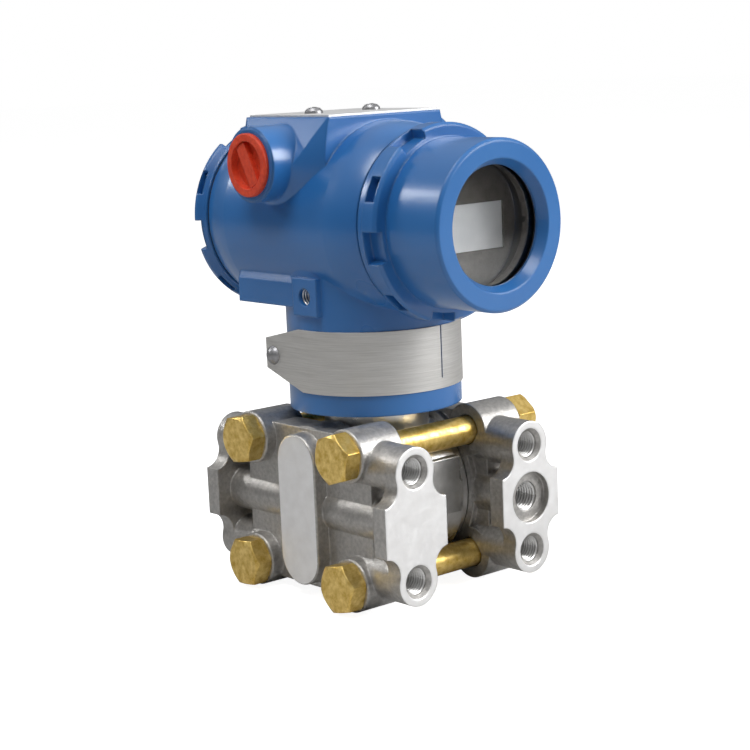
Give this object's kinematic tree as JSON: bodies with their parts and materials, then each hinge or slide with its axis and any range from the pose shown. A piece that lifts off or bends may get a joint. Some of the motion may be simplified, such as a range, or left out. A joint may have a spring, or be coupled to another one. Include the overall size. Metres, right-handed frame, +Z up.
{
  "type": "differential pressure transmitter",
  "caption": "Differential pressure transmitter: two clamped process flanges, a turning electronics housing, screwed covers and a meter behind glass.",
  "frame": {"origin": "middle of the high side flange's process plate, on its face that looks along -Y", "axes": "+X along the clamp bolts from heads to nuts, +Y from the window cover to the blind cover, +Z up the neck"},
  "size_m": [0.1022, 0.142, 0.1862],
  "materials": {
    "painted_blue": "semi_gloss",
    "cast_stainless": "matte",
    "machined_stainless": "satin",
    "yellow_zinc": "satin",
    "glass_clear": "gloss",
    "black_rubber": "matte",
    "red_plastic": "matte",
    "plate_silver": "satin",
    "dark_plastic": "matte",
    "display_grey": "gloss",
    "board_green": "satin",
    "brass_post": "satin"
  },
  "bodies": {
    "base": {"sensor_module": "machined_stainless", "stem_oring": "black_rubber", "high_side_diaphragm": "machined_stainless", "low_side_diaphragm": "machined_stainless", "flange_gaskets": "black_rubber", "high_side_flange": "cast_stainless", "low_side_flange": "cast_stainless", "flange_bolts": "yellow_zinc", "flange_nuts": "yellow_zinc"},
    "housing": {"housing_body": "painted_blue", "nameplate": "plate_silver", "nameplate_screws": "machined_stainless", "meter_case": "dark_plastic", "display_panel": "display_grey", "board_standoffs": "brass_post", "amplifier_board": "board_green", "calibration_board": "board_green", "terminal_block": "dark_plastic", "terminal_screws": "machined_stainless", "wire_feedthrough": "machined_stainless", "tag_band": "machined_stainless", "tag_screw": "machined_stainless", "lock_screw": "machined_stainless"},
    "window_seal": {"window_cover_oring": "black_rubber"},
    "window_cover": {"window_cover": "painted_blue", "window_glass": "glass_clear", "glass_gasket": "black_rubber", "glass_retainer": "plate_silver"},
    "blind_seal": {"blind_cover_oring": "black_rubber"},
    "blind_cover": {"blind_cover": "painted_blue"},
    "zero_screw": {"zero_screw": "machined_stainless"},
    "span_screw": {"span_screw": "machined_stainless"},
    "conduit_plug": {"conduit_plug": "red_plastic"}
  },
  "joints": [
    {"name": "housing_turn", "type": "hinge", "parent": "base", "child": "housing", "pos_m": [0.02955, 0.0545, 0.05], "axis": [0, 0, 1], "range_deg": [-90, 90]},
    {"name": "window_cover_travel", "type": "slide", "parent": "housing", "child": "window_seal", "axis": [0, -1, 0], "range_m": [0, 0.00953]},
    {"name": "window_cover_turn", "type": "hinge", "parent": "window_seal", "child": "window_cover", "pos_m": [0.02955, 0, 0.108], "axis": [0, -1, 0], "range_deg": [0, 2160]},
    {"name": "blind_cover_travel", "type": "slide", "parent": "housing", "child": "blind_seal", "axis": [0, 1, 0], "range_m": [0, 0.00476]},
    {"name": "blind_cover_turn", "type": "hinge", "parent": "blind_seal", "child": "blind_cover", "pos_m": [0.02955, 0.12, 0.108], "axis": [0, 1, 0], "range_deg": [0, 1080]},
    {"name": "zero_adjust", "type": "hinge", "parent": "housing", "child": "zero_screw", "pos_m": [0.05155, 0.0473, 0.14], "axis": [0, 0, 1], "continuous": true},
    {"name": "span_adjust", "type": "hinge", "parent": "housing", "child": "span_screw", "pos_m": [0.00755, 0.0473, 0.14], "axis": [0, 0, 1], "continuous": true},
    {"name": "plug_pull", "type": "slide", "parent": "housing", "child": "conduit_plug", "axis": [-1, 0, 0], "range_m": [0, 0.016]}
  ],
  "couplings": [
    {"joint": "window_cover_travel", "follows": "window_cover_turn", "m_per_rad": 0.00025266},
    {"joint": "blind_cover_travel", "follows": "blind_cover_turn", "m_per_rad": 0.00025266}
  ]
}
